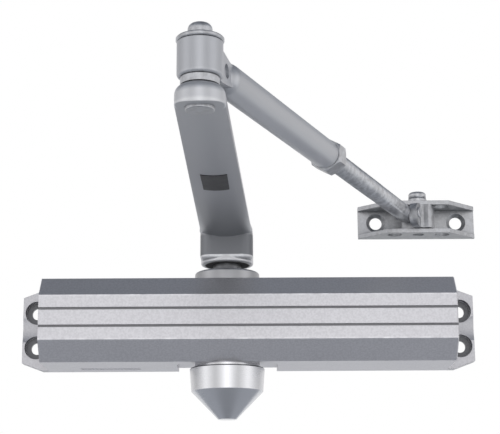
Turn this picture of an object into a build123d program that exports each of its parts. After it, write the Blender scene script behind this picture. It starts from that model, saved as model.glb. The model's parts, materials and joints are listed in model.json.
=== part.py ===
from build123d import *
import math
import os

# Surface door closer with a two-lever arm, in millimetres.
# X runs along the body, Y points at the door, Z is up and runs along the spindle.
# The origin is the centre of the body's back face, which lies on the door.
# The arm stands nearly square to the door, as on a closed door.

os.makedirs("parts", exist_ok=True)

# Body casting
body_length = 216.0
body_depth = 50.0
body_height = 44.0
axis_stand = 23.0
front_flat_height = 23.4
front_bevel_depth = 9.7
groove_spacing = 9.1
groove_width = 1.2
groove_depth = 0.9
body_edge_break = 0.5
foot_reach = 14.6
foot_thickness = 7.0
foot_corner_length = 11.1
foot_corner_height = 4.2
hole_spacing_x = 230.2
hole_spacing_z = 19.05
hole_radius = 3.3
hole_sink_radius = 6.25
hole_sink_depth = 4.0
pocket_radius = 26.6
pocket_depth = 2.0
pocket_rib = 2.2
panel_length = 31.8
panel_width = 8.3
panel_depth = 0.5
panel_inset = 18.2
panel_stand = 8.8

# Cylinder and its end plugs
bore_radius = 16.5
plug_radius = 17.3
plug_length = 16.0
plug_socket_depth = 2.0
plug_socket_flats = 22.0
plug_inset = 0.4
plug_groove_width = 2.6
plug_groove_depth = 1.9
plug_groove_inset = 2.4
o_ring_radius = 0.93

# Spindle with its pinion
spindle_x = -11.2
tooth_count = 12
tooth_module = 1.5
pressure_angle = 25.0
addendum_share = 0.9
dedendum_share = 1.25
tooth_backlash = 0.2
journal_radius = 7.5
pinion_face = 22.0
square_flats = 11.0
square_length = 10.4
square_edge_break = 0.8
arm_screw_radius = 3.0
arm_screw_depth = 9.0

# Bearings, seals and caps of the spindle, the same above and below
cap_radius = 17.2
cap_height = 5.6
cap_edge_round = 1.2
cap_spigot_radius = 14.3
cap_spigot_length = 4.5
cap_lip = 1.2
cap_lip_hole_radius = 8.2
pinion_passage_radius = 11.0
bearing_outer_radius = 12.0
bearing_length = 6.0
seal_outer_radius = 10.5
seal_length = 1.6

# Rack piston
opening_turn = 150.0
window_margin = 1.2
window_front_clearance = 0.8
left_head_length = 22.0
right_head_length = 14.0
piston_ring_width = 2.4
piston_ring_depth = 1.7
piston_ring_inset = 3.0
valve_seat_radius = 4.5
valve_seat_hole_radius = 1.6
valve_seat_length = 3.0
check_ball_radius = 2.4
check_pocket_length = 9.0
check_passage_radius = 1.8

# Spring and its power adjustment
spring_wire_radius = 2.0
spring_mean_radius = 12.6
spring_turns = 7.5
spring_seat_thickness = 5.0
spring_seat_inset = 3.0
power_screw_radius = 4.0
power_head_radius = 7.0
power_head_length = 6.0
power_socket_flats = 6.0
power_socket_depth = 4.0
power_screw_reach = 46.0

# Speed valves in the left end
valve_stand_off = 10.0
valve_height = 17.0
valve_radius = 2.4
valve_length = 17.0
valve_tip_length = 5.0
valve_tip_radius = 0.9
valve_slot_width = 0.9
valve_slot_depth = 1.2
valve_ring_radius = 0.6
valve_ring_inset = 5.0
valve_port_radius = 1.2

# Lower spindle cap
cone_top_gap = 4.1
cone_rim_radius = 19.8
cone_rim_round = 0.6
cone_belt_radius = 18.95
cone_belt_length = 12.2
cone_length = 14.5
cone_tip_radius = 4.85
cone_cavity_radius = 13.0
cone_cavity_depth = 8.0
cone_cavity_tip_radius = 8.4
cone_cavity_tip_gap = 5.6

# Main arm
arm_length = 236.0
arm_lean = 1.5
arm_hub_radius = 14.0
arm_hub_bottom_gap = 4.4
arm_hub_base_height = 1.4
arm_hub_lower_round = 1.0
arm_riser_lower_round = 2.0
arm_riser_round = 6.0
arm_top = 52.3
arm_bend_width = 26.6
arm_end_radius = 9.7
arm_root_length = 14.0
arm_bend_length = 24.0
strap_root_bottom = 44.9
strap_end_bottom = 43.3
strap_crown_radius = 34.0
strap_edge_round = 4.0
plate_width = 12.0
plate_length = 26.0
plate_thickness = 0.3
plate_place_share = 0.534
arm_washer_radius = 8.0
arm_washer_thickness = 1.6
arm_screw_head_radius = 5.5
arm_screw_head_height = 5.0
arm_screw_socket_flats = 5.0
arm_screw_socket_depth = 3.0

# Elbow
elbow_pin_radius = 4.0
elbow_head_radius = 5.6
elbow_head_height = 1.0
elbow_head_sink = 0.5
elbow_thread_radius = 2.5
elbow_thread_reach = 3.6
spacer_radius = 7.5
spacer_height = 2.8
elbow_hub_radius = 8.85
elbow_hub_height = 13.8
elbow_hub_round = 1.2
elbow_bush_radius = 5.5
elbow_washer_radius = 9.25
elbow_washer_height = 1.8
elbow_nut_radius = 4.75
elbow_nut_height = 5.8
elbow_nut_rim = 1.6
elbow_nut_round = 2.6

# Forearm tube, lock nut and rod
tube_start = 19.0
tube_end = 135.3
tube_radius = 6.65
tube_nose_round = 5.0
tube_bore_depth = 84.0
neck_thickness = 8.0
neck_root_thickness = 13.0
neck_height = 13.3
neck_end_height = 9.0
neck_dimple_radius = 2.9
neck_dimple_depth = 1.4
neck_dimple_place = 14.6
lock_nut_flats = 14.3
lock_nut_length = 8.9
lock_nut_edge = 0.9
rod_radius = 4.75
rod_engagement = 42.0
rod_thread_end = 208.0
rod_shank_radius = 4.65
rod_relief = 0.8
rod_eye_flat = 3.5
rod_eye_back_flat = 3.9
rod_flat_length = 6.5

# Knuckle between rod and shoe
shoe_pivot_x = 93.5
shoe_pivot_stand = 12.5
rod_offset = 4.2
rivet_lead = 10.0
rivet_height = 61.0
rivet_radius = 2.2
rivet_head_radius = 2.9
rivet_head_height = 0.9
knuckle_radius = 9.0
cheek_thickness = 4.0
cheek_reach = 15.0
cheek_round = 5.6
pivot_radius = 3.0

# Shoe bracket
shoe_width = 64.4
shoe_height = 18.0
shoe_middle = 60.0
shoe_plate_thickness = 2.5
shoe_flange_thickness = 2.3
shoe_flange_reach = 18.0
shoe_front_width = 33.0
shoe_side_depth = 3.4
shoe_bend_round = 1.5
shoe_hole_spacing = 44.5
shoe_hole_radius = 3.4
shoe_hole_sink_radius = 5.3
shoe_side_hole_radius = 3.9
shoe_side_hole_spacing = 26.0
pivot_head_radius = 4.8
pivot_head_height = 4.0
pivot_head_round = 1.6
pivot_slot_width = 1.2
pivot_slot_depth = 1.4
pivot_end_inset = 1.0
pivot_washer_radius = 5.1
pivot_washer_thickness = 1.6

# Clearances and shared values
running_gap = 0.05
seat_gap = 0.05
side_gap = 0.3
slide_gap = 0.03
cut_overrun = 2.0
hexagon_sides = 6


def upright(radius, low, high, x=0, y=0):
    """Upright cylinder between two heights."""
    rod = Cylinder(radius, high - low, align=(Align.CENTER, Align.CENTER, Align.MIN))
    return Pos(x, y, low) * rod


def lengthwise(radius, start, end, y=0, z=0):
    """Cylinder along X between two places."""
    rod = Cylinder(radius, end - start, align=(Align.CENTER, Align.CENTER, Align.MIN))
    return Pos(start, y, z) * Rot(0, 90, 0) * rod


def crosswise(radius, start, end, x=0, z=0):
    """Cylinder along Y between two places."""
    rod = Cylinder(radius, end - start, align=(Align.CENTER, Align.CENTER, Align.MIN))
    return Pos(x, start, z) * Rot(-90, 0, 0) * rod


def block(x_range, y_range, z_range):
    """Square block between two corners."""
    size = [high - low for low, high in (x_range, y_range, z_range)]
    solid = Box(*size, align=(Align.MIN, Align.MIN, Align.MIN))
    return Pos(x_range[0], y_range[0], z_range[0]) * solid


def turned(points):
    """Solid turned about Z from an outline of (radius, height) points."""
    outline = make_face(Plane.XZ * Polyline(*points, close=True))
    return revolve(outline, Axis.Z)


def slab(points, low, high):
    """Flat plate of a plan outline between two heights."""
    outline = make_face(Polyline(*points, close=True))
    return Pos(0, 0, low) * extrude(outline, high - low)


def hexagon(flats, length):
    """Six-sided prism standing on its base plane."""
    outline = RegularPolygon(flats / 2, hexagon_sides, major_radius=False)
    return extrude(outline, length)


def save(shape, name):
    """Writes one sub-part."""
    solids = list(shape.solids())
    whole = solids[0] if len(solids) == 1 else Compound(children=solids)
    export_step(whole, os.path.join("parts", name + ".step"))


# Places that follow from the sizes
half_length = body_length / 2
half_height = body_height / 2
foot_end = half_length + foot_reach
bore_y = -axis_stand
pocket_floor = half_height - pocket_depth
cap_top = half_height + cap_height
cap_base = half_height - cap_spigot_length
pitch_radius = tooth_module * tooth_count / 2
tip_radius = pitch_radius + addendum_share * tooth_module
root_radius = pitch_radius - dedendum_share * tooth_module
rack_pitch_y = bore_y + pitch_radius
rack_tip_y = rack_pitch_y - addendum_share * tooth_module
rack_root_y = rack_pitch_y + dedendum_share * tooth_module
tooth_spacing = math.pi * tooth_module
piston_stroke = pitch_radius * math.radians(opening_turn)
square_start = cap_top + arm_hub_bottom_gap
square_end = square_start + square_length
plug_face = half_length - plug_inset
plug_inner = plug_face - plug_length
window_left = spindle_x - piston_stroke - tip_radius - window_margin
window_right = spindle_x + tip_radius + window_margin
piston_left = window_left - left_head_length
piston_right = window_right + right_head_length
feed_port_x = valve_length - valve_tip_length / 2 - half_length
return_port_x = window_left + 2 * valve_port_radius


def body_section():
    """Outline of the body across its length, in Y and Z."""
    flat = front_flat_height / 2
    return [
        (0, -half_height),
        (0, half_height),
        (front_bevel_depth - body_depth, half_height),
        (-body_depth, flat),
        (-body_depth, -flat),
        (front_bevel_depth - body_depth, -half_height),
    ]


def foot_outline():
    """Outline of the foot plate seen from the front, in X and Z."""
    corner = foot_end - foot_corner_length
    end_height = half_height - foot_corner_height
    right = [(corner, half_height), (foot_end, end_height)]
    right += [(foot_end, -end_height), (corner, -half_height)]
    left = [(-x, -z) for x, z in right]
    return right + left


def mounting_holes(radius, start, end):
    """The four bores of the mounting pattern."""
    return [
        crosswise(radius, start, end, side * hole_spacing_x / 2, level * hole_spacing_z / 2)
        for side in (-1, 1)
        for level in (-1, 1)
    ]


def spindle_pocket(side):
    """Milled pocket behind the front edge, round the pad that carries a bearing cap."""
    width = (spindle_x - pocket_radius, spindle_x + pocket_radius)
    depth = (pocket_floor, half_height + cut_overrun)
    front = front_bevel_depth + pocket_rib - body_depth
    tool = upright(pocket_radius, *depth, spindle_x, bore_y)
    tool += block(width, (bore_y, cut_overrun), depth)
    tool &= block(width, (front, cut_overrun), depth)
    tool -= upright(cap_radius, *depth, spindle_x, bore_y)
    return tool if side > 0 else mirror(tool, Plane.XY)


def spindle_bores(side):
    """Passage for the pinion and seat for a bearing cap."""
    tool = upright(pinion_passage_radius, 0, body_height, spindle_x, bore_y)
    tool += upright(cap_spigot_radius + seat_gap, cap_base, body_height, spindle_x, bore_y)
    return tool if side > 0 else mirror(tool, Plane.XY)


def closer_body():
    """Cast body: ribbed bevelled block on a foot plate, bored for the works."""
    outline = make_face(Plane.YZ * Polyline(*body_section(), close=True))
    solid = extrude(outline, half_length, both=True)
    for end in (solid.faces().sort_by(Axis.X)[0], solid.faces().sort_by(Axis.X)[-1]):
        front_edges = [edge for edge in end.edges() if edge.center().Y < -foot_thickness]
        solid = chamfer(front_edges, body_edge_break)
    foot = make_face(Plane.XZ * Polyline(*foot_outline(), close=True))
    solid += extrude(foot, foot_thickness, dir=(0, -1, 0))
    for side in (-1, 1):
        middle = side * groove_spacing / 2
        solid -= block(
            (-half_length - cut_overrun, half_length + cut_overrun),
            (-body_depth - cut_overrun, groove_depth - body_depth),
            (middle - groove_width / 2, middle + groove_width / 2),
        )
        solid -= spindle_pocket(side)
        solid -= spindle_bores(side)
    solid -= lengthwise(bore_radius, -foot_end, foot_end, bore_y)
    for side in (-1, 1):
        inner = side * (plug_inner - plug_groove_inset)
        low, high = sorted((inner, side * foot_end))
        solid -= lengthwise(plug_radius, low, high, bore_y)
        valve_axis = (-valve_stand_off, side * valve_height)
        solid -= lengthwise(
            valve_radius + running_gap, -foot_end, valve_length - half_length, *valve_axis
        )
        solid -= lengthwise(valve_port_radius, -half_length, return_port_x, *valve_axis)
        solid -= valve_port(side, feed_port_x)
        solid -= valve_port(side, return_port_x)
    for hole in mounting_holes(hole_radius, -body_depth, cut_overrun):
        solid -= hole
    for sink in mounting_holes(hole_sink_radius, -body_depth, hole_sink_depth - foot_thickness):
        solid -= sink
    solid -= block(
        (panel_inset - half_length, panel_inset + panel_length - half_length),
        (-panel_stand - panel_width, -panel_stand),
        (-half_height - cut_overrun, panel_depth - half_height),
    )
    return solid


def valve_port(side, place):
    """Drilled port from a speed valve's passage down to the cylinder."""
    drill = Cylinder(
        valve_port_radius, valve_height, align=(Align.CENTER, Align.CENTER, Align.MAX)
    )
    tilt = math.degrees(math.atan2(-valve_stand_off - bore_y, valve_height))
    if side < 0:
        tilt = 180 - tilt
    return Pos(place, -valve_stand_off, side * valve_height) * Rot(-tilt, 0, 0) * drill


def end_plug(side):
    """Screwed plug with a hexagon recess and a groove for its ring."""
    solid = lengthwise(plug_radius - seat_gap, plug_inner, plug_face)
    groove = plug_inner + plug_groove_inset
    cutter = lengthwise(plug_radius + cut_overrun, groove, groove + plug_groove_width)
    cutter -= lengthwise(plug_radius - plug_groove_depth, groove, groove + plug_groove_width)
    solid -= cutter
    socket = Rot(0, 90, 0) * hexagon(plug_socket_flats, plug_socket_depth + cut_overrun)
    solid -= Pos(plug_face - plug_socket_depth, 0, 0) * socket
    if side > 0:
        solid -= lengthwise(power_screw_radius + running_gap, 0, plug_face)
        seat = plug_face - plug_socket_depth - power_head_length
        solid -= lengthwise(power_head_radius + running_gap, seat, plug_face)
        return Pos(0, bore_y, 0) * solid
    return Pos(0, bore_y, 0) * mirror(solid, Plane.YZ)


def end_plug_seals():
    """One ring in each plug's groove."""
    ring_radius = plug_radius - plug_groove_depth + o_ring_radius + running_gap / 2
    place = plug_inner + plug_groove_inset + plug_groove_width / 2
    ring = Rot(0, 90, 0) * Torus(ring_radius, o_ring_radius)
    return [Pos(side * place, bore_y, 0) * ring for side in (-1, 1)]


def bearing_cap(side):
    """Screwed cap that holds bearing and seal, with a rounded rim."""
    solid = upright(cap_radius, half_height, cap_top)
    rim = solid.edges().filter_by(GeomType.CIRCLE).sort_by(Axis.Z)[-1]
    solid = fillet(rim, cap_edge_round)
    solid += upright(cap_spigot_radius, cap_base, half_height)
    seal_top = cap_top - cap_lip
    seal_low = seal_top - seal_length - running_gap
    solid -= upright(bearing_outer_radius + seat_gap, 0, seal_low)
    solid -= upright(seal_outer_radius + seat_gap, 0, seal_top)
    solid -= upright(cap_lip_hole_radius, 0, body_height)
    solid = Pos(spindle_x, bore_y, 0) * solid
    return solid if side > 0 else mirror(solid, Plane.XY)


def bearing(side):
    """Plain bearing ring for the spindle's journal."""
    high = cap_top - cap_lip - seal_length - 2 * running_gap
    solid = upright(bearing_outer_radius, high - bearing_length, high)
    solid -= upright(journal_radius + running_gap, 0, body_height)
    solid = Pos(spindle_x, bore_y, 0) * solid
    return solid if side > 0 else mirror(solid, Plane.XY)


def shaft_seal(side):
    """Lip seal above the bearing."""
    high = cap_top - cap_lip - running_gap / 2
    solid = upright(seal_outer_radius, high - seal_length, high)
    solid -= upright(journal_radius + running_gap, 0, body_height)
    solid = Pos(spindle_x, bore_y, 0) * solid
    return solid if side > 0 else mirror(solid, Plane.XY)


def involute(angle):
    """Involute function of a pressure angle in radians."""
    return math.tan(angle) - angle


def pinion_outline():
    """Pinion outline, with one tooth pointing at the rack in +Y."""
    base_radius = pitch_radius * math.cos(math.radians(pressure_angle))
    half_pitch_angle = math.pi / (2 * tooth_count) - tooth_backlash / (2 * pitch_radius)
    half_base_angle = half_pitch_angle + involute(math.radians(pressure_angle))
    flank_steps = 6
    points = []
    for tooth in range(tooth_count):
        middle = math.pi / 2 + tooth * 2 * math.pi / tooth_count
        flank = [(root_radius, half_base_angle)]
        for step in range(flank_steps + 1):
            radius = base_radius + (tip_radius - base_radius) * step / flank_steps
            flank.append((radius, half_base_angle - involute(math.acos(base_radius / radius))))
        for radius, half_angle in flank:
            points.append((radius * math.cos(middle - half_angle), radius * math.sin(middle - half_angle)))
        for radius, half_angle in reversed(flank):
            points.append((radius * math.cos(middle + half_angle), radius * math.sin(middle + half_angle)))
    return points


def pinion_shaft():
    """Spindle: pinion in the middle, journals, and a square at each end."""
    square = Box(square_flats, square_flats, 2 * square_end)
    square = chamfer(square.edges().filter_by(Axis.Z), square_edge_break)
    solid = Rot(0, 0, -arm_lean) * square
    solid += upright(journal_radius, -square_start, square_start)
    solid += slab(pinion_outline(), -pinion_face / 2, pinion_face / 2)
    solid -= upright(arm_screw_radius, square_end - arm_screw_depth, square_end)
    return Pos(spindle_x, bore_y, 0) * solid


def rack_gap(place):
    """Cutter for one space between two rack teeth."""
    slope = math.tan(math.radians(pressure_angle))
    tip_half = tooth_spacing / 4 + (rack_pitch_y - rack_tip_y) * slope
    root_half = tooth_spacing / 4 - (rack_root_y - rack_pitch_y) * slope
    mouth_half = tip_half + cut_overrun * slope
    points = [
        (place - mouth_half, rack_tip_y - cut_overrun),
        (place + mouth_half, rack_tip_y - cut_overrun),
        (place + root_half, rack_root_y),
        (place - root_half, rack_root_y),
    ]
    return slab(points, -body_height, body_height)


def rack_piston():
    """Piston with a slot for the pinion and rack teeth on the slot's back wall."""
    solid = lengthwise(bore_radius - slide_gap, piston_left, piston_right, bore_y)
    slot_front = bore_y - tip_radius - window_front_clearance
    solid -= block((window_left, window_right), (slot_front, rack_tip_y), (-body_height, body_height))
    first = math.ceil((window_left - spindle_x) / tooth_spacing)
    last = math.floor((window_right - spindle_x) / tooth_spacing)
    for number in range(first, last + 1):
        solid -= rack_gap(spindle_x + number * tooth_spacing)
    groove = piston_left + piston_ring_inset
    cutter = lengthwise(bore_radius + cut_overrun, groove, groove + piston_ring_width, bore_y)
    cutter -= lengthwise(bore_radius - piston_ring_depth, groove, groove + piston_ring_width, bore_y)
    solid -= cutter
    solid -= lengthwise(valve_seat_radius, piston_left, piston_left + check_pocket_length, bore_y)
    solid -= lengthwise(check_passage_radius, piston_left, window_left, bore_y)
    return solid


def piston_ring():
    """Seal ring in the piston's groove."""
    start = piston_left + piston_ring_inset + running_gap
    end = start + piston_ring_width - 2 * running_gap
    solid = lengthwise(bore_radius - slide_gap, start, end, bore_y)
    return solid - lengthwise(bore_radius - piston_ring_depth + running_gap, start, end, bore_y)


def check_valve_seat():
    """Seat ring pressed into the piston's closed head."""
    end = piston_left + valve_seat_length
    solid = lengthwise(valve_seat_radius - seat_gap, piston_left, end, bore_y)
    return solid - lengthwise(valve_seat_hole_radius, piston_left, end, bore_y)


def check_valve_ball():
    """Ball that closes the seat ring's hole."""
    lift = math.sqrt((check_ball_radius + running_gap) ** 2 - valve_seat_hole_radius**2)
    return Pos(piston_left + valve_seat_length + lift, bore_y, 0) * Sphere(check_ball_radius)


spring_start = piston_right + side_gap
seat_face = plug_inner - spring_seat_inset - spring_seat_thickness
spring_length = seat_face - side_gap - spring_start


def main_spring():
    """Return spring of round wire, on a true helix with flattened room at its ends."""
    climb = spring_length - 2 * spring_wire_radius
    path = Helix(climb / spring_turns, climb, spring_mean_radius)
    section = Plane(origin=path @ 0, z_dir=path % 0) * Circle(spring_wire_radius)
    coil = sweep(section, path=path)
    return Pos(spring_start + spring_wire_radius, bore_y, 0) * Rot(0, 90, 0) * coil


def spring_seat():
    """Plate that carries the spring's fixed end on the power screw."""
    end = seat_face + spring_seat_thickness
    solid = lengthwise(bore_radius - side_gap, seat_face, end, bore_y)
    return solid - lengthwise(power_screw_radius + running_gap, seat_face, end, bore_y)


def power_screw():
    """Screw that moves the spring seat, with its head in the right plug."""
    head_end = plug_face - plug_socket_depth - running_gap
    head_start = head_end - power_head_length + 2 * running_gap
    solid = lengthwise(power_head_radius, head_start, head_end)
    solid += lengthwise(power_screw_radius, plug_face - power_screw_reach, head_end)
    socket = Rot(0, 90, 0) * hexagon(power_socket_flats, power_socket_depth + cut_overrun)
    solid -= Pos(head_end - power_socket_depth, 0, 0) * socket
    return Pos(0, bore_y, 0) * solid


valve_ring_middle = valve_radius - valve_ring_radius + running_gap / 2


def speed_valve(side):
    """Needle screw with a driver slot and a ring groove."""
    start = -plug_face
    tip = valve_length - side_gap - plug_inset
    points = [
        (0, 0),
        (valve_radius, 0),
        (valve_radius, tip - valve_tip_length),
        (valve_tip_radius, tip),
        (0, tip),
    ]
    solid = Pos(start, 0, 0) * Rot(0, 90, 0) * turned(points)
    groove_half = valve_ring_radius + running_gap
    groove = (start + valve_ring_inset - groove_half, start + valve_ring_inset + groove_half)
    core = valve_ring_middle - groove_half
    solid -= lengthwise(valve_radius + cut_overrun, *groove) - lengthwise(core, *groove)
    solid -= block(
        (start - cut_overrun, start + valve_slot_depth),
        (-valve_slot_width / 2, valve_slot_width / 2),
        (-valve_radius, valve_radius),
    )
    return Pos(0, -valve_stand_off, side * valve_height) * solid


def valve_seals():
    """One ring in each speed valve's groove."""
    place = -plug_face + valve_ring_inset
    ring = Rot(0, 90, 0) * Torus(valve_ring_middle, valve_ring_radius)
    return [Pos(place, -valve_stand_off, side * valve_height) * ring for side in (-1, 1)]


def spindle_cap():
    """Hollow cone cap pushed over the lower bearing cap."""
    top = cone_top_gap - cap_top
    belt = top - cone_belt_length
    tip = belt - cone_length
    floor = -cap_top - side_gap
    points = [
        (cap_radius + seat_gap, top),
        (cone_rim_radius - cone_rim_round, top),
        (cone_rim_radius, top - cone_rim_round),
        (cone_belt_radius, belt),
        (cone_tip_radius, tip),
        (0, tip),
        (0, tip + cone_cavity_tip_gap),
        (cone_cavity_tip_radius, tip + cone_cavity_tip_gap),
        (cone_cavity_radius, floor - cone_cavity_depth),
        (cone_cavity_radius, floor),
        (cap_radius + seat_gap, floor),
    ]
    return Pos(spindle_x, bore_y, 0) * turned(points)


# The main arm is drawn along -Y from the spindle's axis, then turned to its lean
arm_place = Pos(spindle_x, bore_y, 0) * Rot(0, 0, -arm_lean)
arm_hub_bottom = cap_top + arm_hub_bottom_gap
strap_slope = math.degrees(math.atan2(strap_root_bottom - strap_end_bottom, arm_length - arm_bend_length))


def crown(radius):
    """Long cylinder whose lowest line is the middle of the strap's underside."""
    start = -arm_length - 2 * arm_end_radius
    rod = crosswise(radius, start, 0, z=strap_crown_radius)
    tilt = Pos(0, -arm_bend_length, strap_root_bottom) * Rot(strap_slope, 0, 0)
    return tilt * Pos(0, arm_bend_length, 0) * rod


def arm_outline():
    """Plan of the strap from the spindle's axis to the elbow's axis."""
    right = [
        (arm_hub_radius, 0),
        (arm_hub_radius, -arm_root_length),
        (arm_bend_width / 2, -arm_bend_length),
        (arm_end_radius, -arm_length),
    ]
    left = [(-x, y) for x, y in reversed(right)]
    return right + left


def arm_hub():
    """Deep hub: half round behind, a flat-fronted riser with round corners, a round base below."""
    depth = (arm_hub_bottom + arm_hub_base_height, arm_top)
    riser = block((-arm_hub_radius, arm_hub_radius), (-arm_root_length, 0), depth)
    front_corners = riser.edges().filter_by(Axis.Z).sort_by(Axis.Y)[:2]
    riser = fillet(front_corners, arm_riser_round)
    lower_edges = riser.faces().sort_by(Axis.Z)[0].edges().sort_by(Axis.Y)[:-1]
    riser = fillet(lower_edges, arm_riser_lower_round)
    barrel = upright(arm_hub_radius, arm_hub_bottom, arm_top)
    lower_rim = barrel.edges().filter_by(GeomType.CIRCLE).sort_by(Axis.Z)[0]
    return riser + fillet(lower_rim, arm_hub_lower_round)


def main_arm():
    """Forged arm: deep hub and a crowned tapering strap."""
    low = strap_end_bottom - strap_crown_radius
    strap = slab(arm_outline(), low, arm_top)
    strap += upright(arm_end_radius, low, arm_top, y=-arm_length)
    strap &= crown(strap_crown_radius)
    solid = arm_hub() + strap
    solid = fillet(solid.faces().sort_by(Axis.Z)[-1].edges(), strap_edge_round)
    socket = square_flats / 2 + seat_gap
    solid -= block((-socket, socket), (-socket, socket), (0, square_end + running_gap))
    solid -= upright(arm_screw_radius + side_gap, 0, arm_top + cut_overrun)
    solid -= upright(elbow_pin_radius + seat_gap, low, arm_top + cut_overrun, y=-arm_length)
    head_seat = strap_end_bottom + elbow_head_sink
    solid -= upright(elbow_head_radius + seat_gap, low, head_seat, y=-arm_length)
    return arm_place * solid


def arm_plate():
    """Thin plain plate that follows the strap's crowned underside."""
    middle = -arm_length * plate_place_share
    skin = crown(strap_crown_radius + plate_thickness) - crown(strap_crown_radius)
    skin &= block(
        (-plate_width / 2, plate_width / 2),
        (middle - plate_length / 2, middle + plate_length / 2),
        (strap_end_bottom - cut_overrun, arm_top - cut_overrun),
    )
    return arm_place * skin


def arm_washer():
    """Washer under the arm screw's head."""
    solid = upright(arm_washer_radius, arm_top, arm_top + arm_washer_thickness)
    return arm_place * (solid - upright(arm_screw_radius + side_gap, 0, arm_top + arm_washer_radius))


def arm_screw():
    """Socket head screw that draws the arm onto the square."""
    low = arm_top + arm_washer_thickness
    solid = upright(arm_screw_head_radius, low, low + arm_screw_head_height)
    shank_low = square_end - arm_screw_depth + side_gap
    solid += upright(arm_screw_radius - running_gap, shank_low, low)
    socket = hexagon(arm_screw_socket_flats, arm_screw_socket_depth + cut_overrun)
    solid -= Pos(0, 0, low + arm_screw_head_height - arm_screw_socket_depth) * socket
    return arm_place * solid


# The elbow's axis stands at the end of the main arm
elbow_place = arm_place * Pos(0, -arm_length, 0)
elbow_point = elbow_place.position
spacer_top = arm_top + spacer_height
hub_low = spacer_top + side_gap
hub_high = hub_low + elbow_hub_height
washer_low = hub_high + side_gap
washer_high = washer_low + elbow_washer_height


def elbow_pin():
    """Pin with a low domed head under the arm and a thread for the domed nut."""
    seat = strap_end_bottom + elbow_head_sink
    head = upright(elbow_head_radius, seat - elbow_head_height - elbow_head_sink, seat)
    rim = head.edges().filter_by(GeomType.CIRCLE).sort_by(Axis.Z)[0]
    head = fillet(rim, elbow_head_height / 2)
    solid = head + upright(elbow_pin_radius, seat, washer_high - side_gap)
    solid += upright(elbow_thread_radius, seat, washer_high + elbow_thread_reach)
    return elbow_place * solid


def elbow_spacer():
    """Ring that lifts the forearm clear of the arm."""
    solid = upright(spacer_radius, arm_top, spacer_top)
    return elbow_place * (solid - upright(elbow_pin_radius + seat_gap, 0, spacer_top))


def elbow_washer():
    """Wide thin washer over the forearm's hub."""
    solid = upright(elbow_washer_radius, washer_low, washer_high)
    solid = chamfer(solid.edges().filter_by(GeomType.CIRCLE), elbow_washer_height / 4)
    solid -= upright(elbow_pin_radius + seat_gap, 0, washer_high - side_gap + running_gap)
    return elbow_place * (solid - upright(elbow_thread_radius + seat_gap, 0, washer_high))


def elbow_nut():
    """Domed nut with a rim, closing the elbow from above."""
    high = washer_high + elbow_nut_height
    solid = upright(elbow_nut_radius, washer_high, high)
    rim = solid.edges().filter_by(GeomType.CIRCLE).sort_by(Axis.Z)[-1]
    solid = fillet(rim, elbow_nut_round)
    neck = upright(elbow_nut_radius + cut_overrun, washer_high, washer_high + elbow_nut_rim)
    solid -= neck - upright(elbow_nut_radius - side_gap, washer_high, washer_high + elbow_nut_rim)
    solid -= upright(elbow_thread_radius + seat_gap, 0, washer_high + elbow_thread_reach + running_gap)
    return elbow_place * solid


def elbow_bush():
    """Bearing bush between pin and forearm."""
    solid = upright(elbow_bush_radius, hub_low, hub_high)
    return elbow_place * (solid - upright(elbow_pin_radius + running_gap, 0, hub_high))


# The forearm's line runs from the elbow past the shoe's pivot, offset to its left
shoe_pivot_y = -shoe_pivot_stand
pivot_dx = shoe_pivot_x - elbow_point.X
pivot_dy = shoe_pivot_y - elbow_point.Y
pivot_distance = math.hypot(pivot_dx, pivot_dy)
forearm_swing = math.degrees(math.atan2(pivot_dx, pivot_dy) - math.asin(rod_offset / pivot_distance))
forearm_reach = math.sqrt(pivot_distance**2 - rod_offset**2)
rivet_reach = forearm_reach - rivet_lead
forearm_height = (hub_low + hub_high) / 2
forearm_dip = math.degrees(math.atan2(forearm_height - rivet_height, rivet_reach))
rivet_place = rivet_reach / math.cos(math.radians(forearm_dip))

# In this frame X is the forearm's own axis, Y points to its left and Z is up
forearm_level = Pos(elbow_point.X, elbow_point.Y, 0) * Rot(0, 0, 90 - forearm_swing)
forearm_place = forearm_level * Pos(0, 0, forearm_height) * Rot(0, forearm_dip, 0)
knuckle_place = forearm_level * Pos(forearm_reach, -rod_offset, 0)


def forearm():
    """Hub, flat neck with a dimple on each side, and bored tube."""
    tube = lengthwise(tube_radius, tube_start, tube_end)
    nose = tube.edges().filter_by(GeomType.CIRCLE).sort_by(Axis.X)[0]
    tube = fillet(nose, tube_nose_round)
    half_neck = neck_thickness / 2
    neck_end = tube_start + tube_nose_round / 2
    half_outline = [(0, neck_root_thickness / 2), (tube_start, half_neck), (neck_end, half_neck)]
    neck = slab(
        half_outline + [(x, -y) for x, y in reversed(half_outline)], -neck_height / 2, neck_height / 2
    )
    half_side = [(0, neck_height / 2), (elbow_hub_radius, neck_height / 2), (neck_end, neck_end_height / 2)]
    side_view = half_side + [(x, -z) for x, z in reversed(half_side)]
    neck &= extrude(make_face(Plane.XZ * Polyline(*side_view, close=True)), neck_root_thickness, both=True)
    for side in (-1, 1):
        reach = sorted((side * (half_neck - neck_dimple_depth), side * neck_root_thickness))
        neck -= crosswise(neck_dimple_radius, reach[0], reach[1], neck_dimple_place)
    tube += neck
    tube -= lengthwise(rod_radius + running_gap, tube_end - tube_bore_depth, tube_end)
    hub = upright(elbow_hub_radius, hub_low, hub_high)
    hub = fillet(hub.edges().filter_by(GeomType.CIRCLE).sort_by(Axis.Z)[0], elbow_hub_round)
    solid = elbow_place * hub + forearm_place * tube
    bore = upright(elbow_bush_radius + seat_gap / 2, hub_low - cut_overrun, hub_high + cut_overrun)
    return solid - elbow_place * bore


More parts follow.
